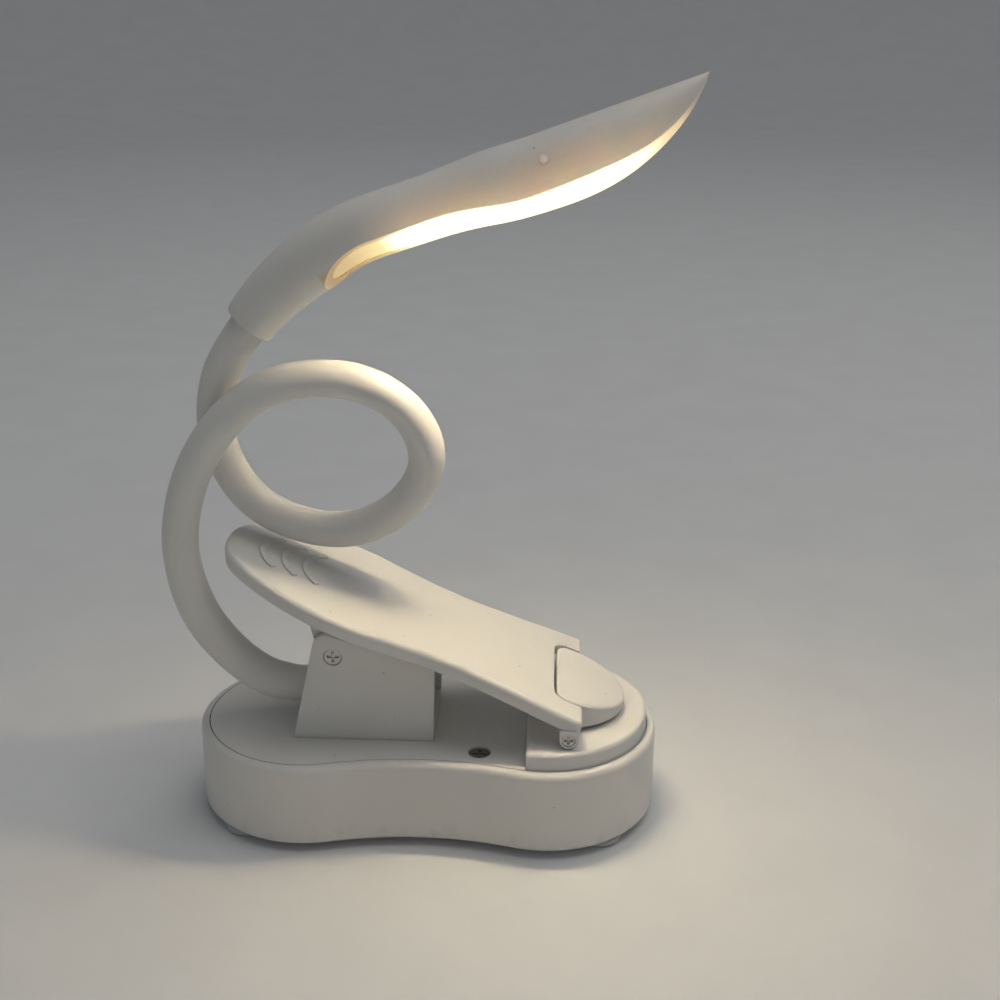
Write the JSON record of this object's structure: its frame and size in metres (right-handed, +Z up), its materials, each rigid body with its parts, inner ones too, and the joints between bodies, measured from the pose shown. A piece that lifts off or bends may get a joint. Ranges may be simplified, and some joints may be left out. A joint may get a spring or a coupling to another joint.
{
  "type": "clip on reading lamp",
  "caption": "Cordless reading lamp with a sprung clip on a two-lobed base, a looped bendable neck and a slender quill-shaped head that lights through a curved diffuser.",
  "frame": {"origin": "on the floor plane through the feet's undersides, under the middle of the base's two lobes", "axes": "+Z up, +X from the neck's side of the base towards the clip's jaw, +Y towards the side with the charging inlet"},
  "size_m": [0.1228, 0.054, 0.1775],
  "materials": {
    "white_shell": "fine matte moulded warm white",
    "white_silicone": "smooth satin silicone sleeve",
    "foot_rubber": "pale grip rubber",
    "pad_rubber": "pale soft sole",
    "steel": "plain zinc-plated steel",
    "core_alloy": "bare bendable tube",
    "cell_can": "shrink-wrapped can",
    "circuit_board": "white solder mask",
    "lead_jacket": "insulated two-core lead",
    "lit_diffuser": "milky translucent panel",
    "lit_chip": "phosphor face",
    "lit_lens": "small clear light pipe"
  },
  "bodies": {
    "base": {"base_housing": "white_shell", "top_cover": "white_shell", "rubber_feet": "foot_rubber", "cover_screws": "steel", "bracket_screws": "steel", "battery_cell": "cell_can", "control_board": "circuit_board", "charging_inlet": "steel", "clip_bracket": "white_shell", "pivot_pin": "steel", "jaw_platform": "white_shell", "torsion_spring": "steel", "neck_socket": "white_shell", "neck_sleeve_lower": "white_silicone", "neck_core_lower": "core_alloy", "lead_lower": "lead_jacket"},
    "lever": {"clip_lever": "white_shell", "jaw_pin": "steel"},
    "jaw": {"jaw_shoe": "white_shell", "jaw_pad": "pad_rubber"},
    "neck": {"neck_sleeve_loop": "white_silicone", "neck_core_loop": "core_alloy", "lead_loop": "lead_jacket"},
    "head": {"head_shade": "white_shell", "diffuser": "lit_diffuser", "led_board": "circuit_board", "leds": "lit_chip", "indicator_lens": "lit_lens", "neck_bush": "white_shell", "neck_sleeve_upper": "white_silicone", "neck_core_upper": "core_alloy", "lead_upper": "lead_jacket"}
  },
  "joints": [
    {"name": "clip_open", "type": "hinge", "parent": "base", "child": "lever", "pos_m": [-0.0213, 0, 0.0446], "axis": [0, -1, 0], "range_deg": [0, 12], "stiffness_Nm_per_rad": 0.35, "springref_deg": -28.65, "deforming": ["torsion_spring"]},
    {"name": "jaw_swivel", "type": "hinge", "parent": "lever", "child": "jaw", "pos_m": [0.0345, 0, 0.0294], "axis": [0, -1, 0], "range_deg": [-12, 0]},
    {"name": "neck_bend", "type": "hinge", "parent": "base", "child": "neck", "pos_m": [-0.058, -0.00225, 0.06375], "axis": [0, -1, 0], "range_deg": [0, 25]},
    {"name": "head_tilt", "type": "hinge", "parent": "neck", "child": "head", "pos_m": [-0.04692, 0.00175, 0.10904], "axis": [0, -1, 0], "range_deg": [-20, 25]}
  ],
  "couplings": [
    {"joint": "jaw_swivel", "follows": "clip_open", "ratio": -1}
  ]
}
